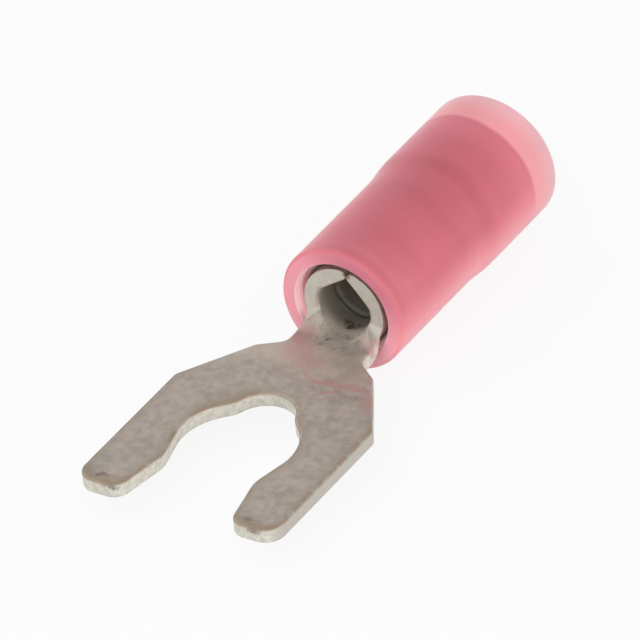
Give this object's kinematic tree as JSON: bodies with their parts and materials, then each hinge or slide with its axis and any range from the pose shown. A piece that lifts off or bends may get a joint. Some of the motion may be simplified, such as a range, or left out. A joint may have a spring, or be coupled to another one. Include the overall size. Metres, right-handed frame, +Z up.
{
  "type": "insulated locking fork terminal",
  "caption": "Crimp terminal with a locking fork tongue, a rolled wire barrel and a pink nylon sleeve over a metal insulation grip.",
  "frame": {"origin": "centre of the stud seat, on the underside of the tongue", "axes": "+Y from the stud seat along the barrel to the wire entry, +Z up through the tongue, on the side that the barrel rises, +X to the right seen from the tips"},
  "size_m": [0.0082, 0.0218, 0.0052],
  "materials": {
    "tinned_copper": "tin-plated copper, matte warm grey, lighter on the sheared edges",
    "grip_metal": "thin tin-plated copper tube, dull",
    "pink_nylon": "pink nylon, slightly translucent, satin"
  },
  "bodies": {
    "root": {"terminal": "tinned_copper", "grip_sleeve": "grip_metal", "insulator": "pink_nylon"}
  },
  "joints": []
}
